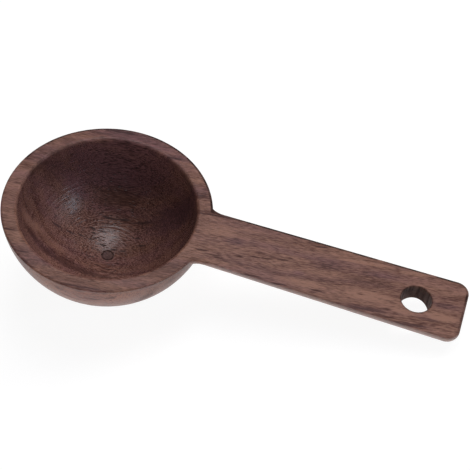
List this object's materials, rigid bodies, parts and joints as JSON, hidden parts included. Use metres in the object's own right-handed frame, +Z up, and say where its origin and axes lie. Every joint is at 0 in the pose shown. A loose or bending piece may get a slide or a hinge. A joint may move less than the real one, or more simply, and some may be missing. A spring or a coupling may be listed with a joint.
{
  "type": "measuring spoon",
  "caption": "Turned wooden measuring spoon: deep round bowl with a flat rim, and a flat tapering handle, rounded underneath, with a hanging hole.",
  "frame": {"origin": "on the surface the spoon lies on, under the middle of its length and width", "axes": "+X from the bowl along the handle, +Z up; the spoon lies as it rests, on the round of its bowl and the underside of its handle's tip, so the rim's plane is tipped 12.2 degrees handle-down about Y"},
  "size_m": [0.1308, 0.0598, 0.0336],
  "materials": {
    "walnut": "oiled, satin",
    "plug_end_grain": "oiled end grain, satin"
  },
  "bodies": {
    "root": {"spoon_body": "walnut", "floor_plug": "plug_end_grain"}
  },
  "joints": []
}
